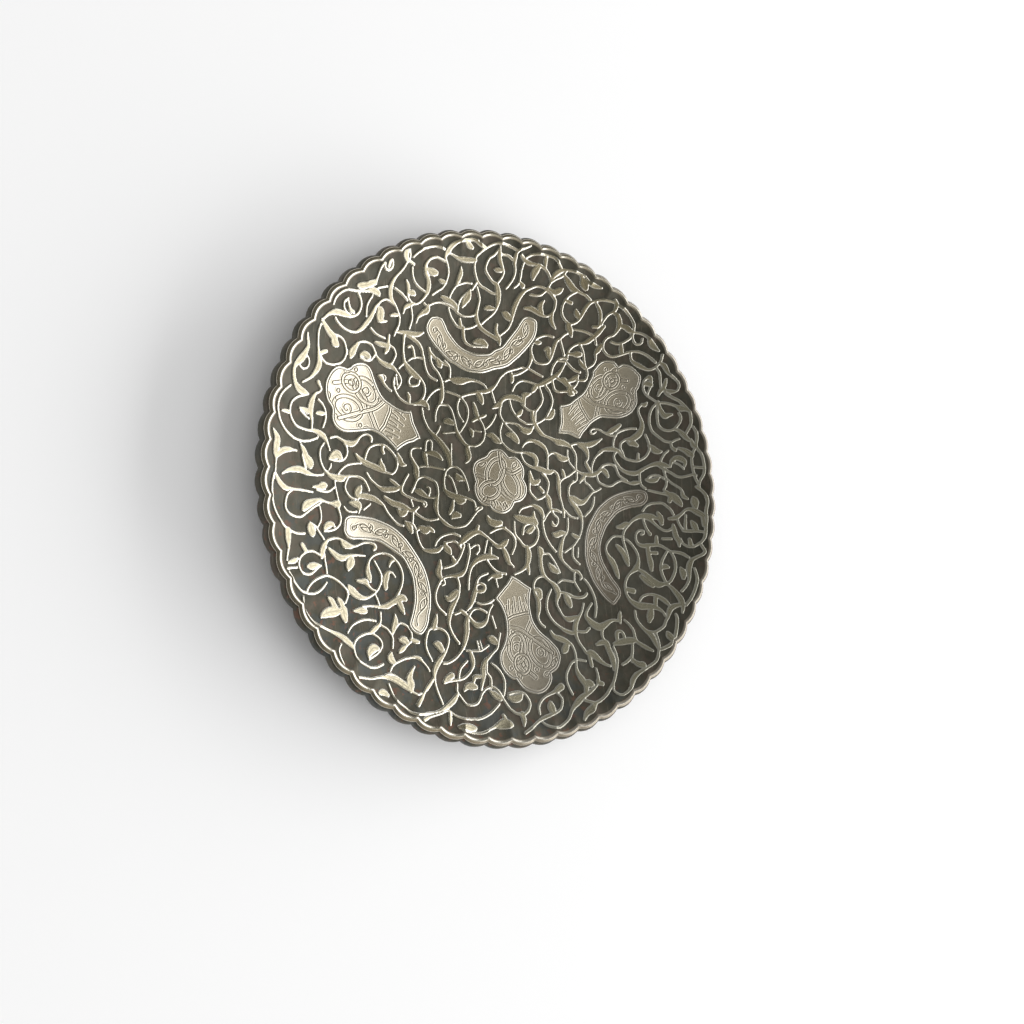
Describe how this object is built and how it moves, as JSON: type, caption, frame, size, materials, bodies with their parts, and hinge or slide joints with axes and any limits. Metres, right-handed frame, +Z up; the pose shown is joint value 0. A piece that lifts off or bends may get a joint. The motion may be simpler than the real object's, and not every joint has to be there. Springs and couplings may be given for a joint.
{
  "type": "inlaid dish",
  "caption": "Shallow round copper dish with a scalloped turned-down rim, and silver cartouches, vine and rim band let into its upper face.",
  "frame": {"origin": "centre of the flat underside that the dish rests on", "axes": "+Z up out of the dish; +X to the right and +Y away from the viewer in the picture"},
  "size_m": [0.18, 0.18, 0.0121],
  "materials": {
    "patinated_copper": "dark patina over hand-raised copper, satin",
    "rim_silver": "worn silver with a warm tarnish, satin",
    "inlaid_silver": "engraved silver with tarnish in the lines, satin",
    "vine_silver": "engraved silver, brighter where it is rubbed, satin"
  },
  "bodies": {
    "root": {"centre_medallion": "inlaid_silver", "copper_dish": "patinated_copper", "crescent_cartouche_left": "inlaid_silver", "crescent_cartouche_right": "inlaid_silver", "crescent_cartouche_top": "inlaid_silver", "drop_cartouche_left": "inlaid_silver", "drop_cartouche_low": "inlaid_silver", "drop_cartouche_right": "inlaid_silver", "silver_rim_band": "rim_silver", "vine_0_1": "vine_silver", "vine_0_2": "vine_silver", "vine_0_3": "vine_silver", "vine_0_4": "vine_silver", "vine_1_1": "vine_silver", "vine_1_2": "vine_silver", "vine_1_3": "vine_silver", "vine_2_1": "vine_silver", "vine_2_2": "vine_silver", "vine_2_3": "vine_silver", "vine_2_4": "vine_silver", "vine_2_5": "vine_silver", "vine_2_6": "vine_silver", "vine_3_1": "vine_silver", "vine_3_2": "vine_silver", "vine_3_3": "vine_silver", "vine_3_4": "vine_silver", "vine_4_1": "vine_silver", "vine_4_2": "vine_silver", "vine_4_3": "vine_silver", "vine_4_4": "vine_silver", "vine_4_5": "vine_silver", "vine_4_6": "vine_silver", "vine_4_7": "vine_silver", "vine_4_8": "vine_silver", "vine_5_1": "vine_silver", "vine_5_2": "vine_silver", "vine_5_3": "vine_silver", "vine_5_4": "vine_silver", "vine_5_5": "vine_silver", "vine_5_6": "vine_silver", "vine_6_1": "vine_silver", "vine_6_2": "vine_silver", "vine_6_3": "vine_silver", "vine_6_4": "vine_silver", "vine_6_5": "vine_silver", "vine_7_1": "vine_silver", "vine_7_2": "vine_silver", "vine_7_3": "vine_silver", "vine_7_4": "vine_silver", "vine_7_5": "vine_silver"}
  },
  "joints": []
}
